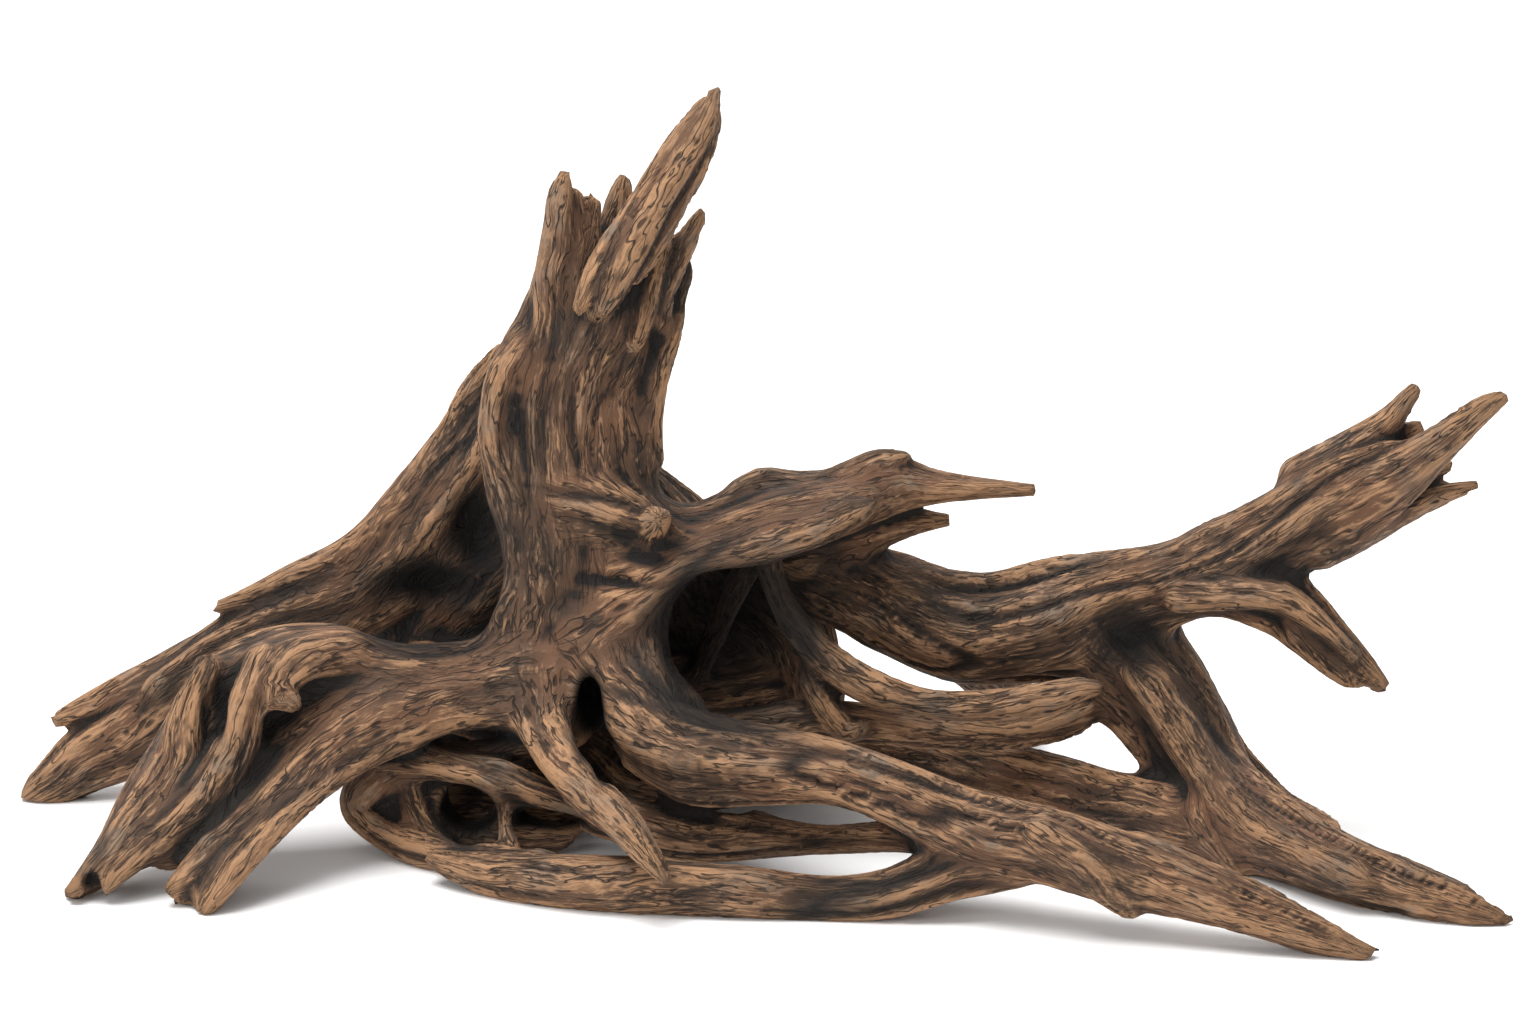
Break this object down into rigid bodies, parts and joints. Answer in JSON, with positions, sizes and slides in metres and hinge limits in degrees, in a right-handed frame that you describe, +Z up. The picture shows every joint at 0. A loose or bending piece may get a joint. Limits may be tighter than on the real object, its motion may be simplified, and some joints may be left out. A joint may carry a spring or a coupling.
{
  "type": "driftwood",
  "caption": "Weathered driftwood root stump: a splintered upright trunk on spreading, twisted roots with natural openings between them.",
  "frame": {"origin": "on the ground plane, under the middle of the bounding box", "axes": "+Z up from the ground, +X towards the forked right branch and its leg, -Y towards the front with the sprawling front roots"},
  "size_m": [0.6036, 0.297, 0.3032],
  "materials": {
    "wood": "dry, weathered, deeply furrowed, matte"
  },
  "bodies": {
    "root": {"driftwood": "wood"}
  },
  "joints": []
}
